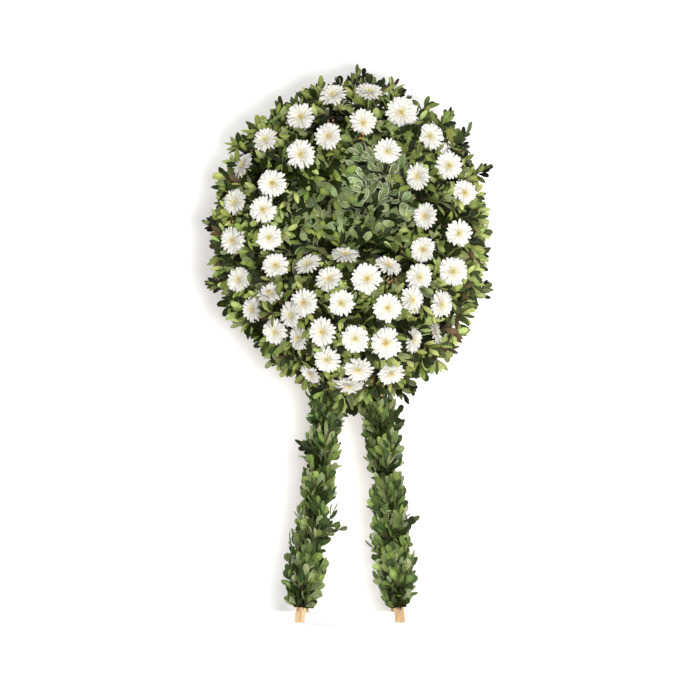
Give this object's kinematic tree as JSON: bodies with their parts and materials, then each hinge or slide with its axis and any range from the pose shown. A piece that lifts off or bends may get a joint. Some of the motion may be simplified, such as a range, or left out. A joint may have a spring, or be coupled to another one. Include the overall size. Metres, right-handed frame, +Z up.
{
  "type": "standing floral wreath",
  "caption": "Standing funeral wreath: a round head of glossy leaves with white gerberas, heaped over its lower half, on a leaning timber easel with leafy front legs.",
  "frame": {"origin": "on the floor, under the middle of the whole", "axes": "+Z up; -Y is the front, the way the flowers face; +X to the right seen from the front"},
  "size_m": [0.9764, 0.7704, 1.8571],
  "materials": {
    "timber": "rough sawn softwood, unpainted",
    "hardboard": "matte brown board",
    "straw": "bundled straw, matte",
    "pale_leaves": "grey-green leaves with cream edges, low sheen",
    "green_leaves": "mid-green leathery leaves, semi-gloss",
    "garland_leaves": "dark green leaves, paler beneath, semi-gloss",
    "petals": "white petals, soft matte, cream eye"
  },
  "bodies": {
    "root": {"straw_pad": "straw", "backboard": "hardboard", "leg_left": "timber", "leg_right": "timber", "cross_rail": "timber", "top_block": "timber", "prop_left": "timber", "prop_right": "timber", "prop_rail": "timber", "foliage_middle": "pale_leaves", "foliage_ring_left": "green_leaves", "foliage_ring_right": "green_leaves", "foliage_heap": "green_leaves", "garland_left": "garland_leaves", "garland_right": "garland_leaves", "gerbera_01": "petals", "gerbera_02": "petals", "gerbera_03": "petals", "gerbera_04": "petals", "gerbera_05": "petals", "gerbera_06": "petals", "gerbera_07": "petals", "gerbera_08": "petals", "gerbera_09": "petals", "gerbera_10": "petals", "gerbera_11": "petals", "gerbera_12": "petals", "gerbera_13": "petals", "gerbera_14": "petals", "gerbera_15": "petals", "gerbera_16": "petals", "gerbera_18": "petals", "gerbera_19": "petals", "gerbera_20": "petals", "gerbera_22": "petals", "gerbera_23": "petals", "gerbera_25": "petals", "gerbera_30": "petals", "gerbera_31": "petals", "gerbera_32": "petals", "gerbera_33": "petals", "gerbera_35": "petals", "gerbera_38": "petals", "gerbera_41": "petals", "gerbera_42": "petals", "gerbera_43": "petals", "gerbera_44": "petals", "gerbera_45": "petals", "gerbera_46": "petals", "gerbera_47": "petals", "gerbera_49": "petals", "gerbera_51": "petals", "gerbera_17_21": "petals", "gerbera_24_27": "petals", "gerbera_26_28": "petals", "gerbera_29_37_36": "petals", "gerbera_34_39_40": "petals", "gerbera_48_50": "petals"}
  },
  "joints": []
}
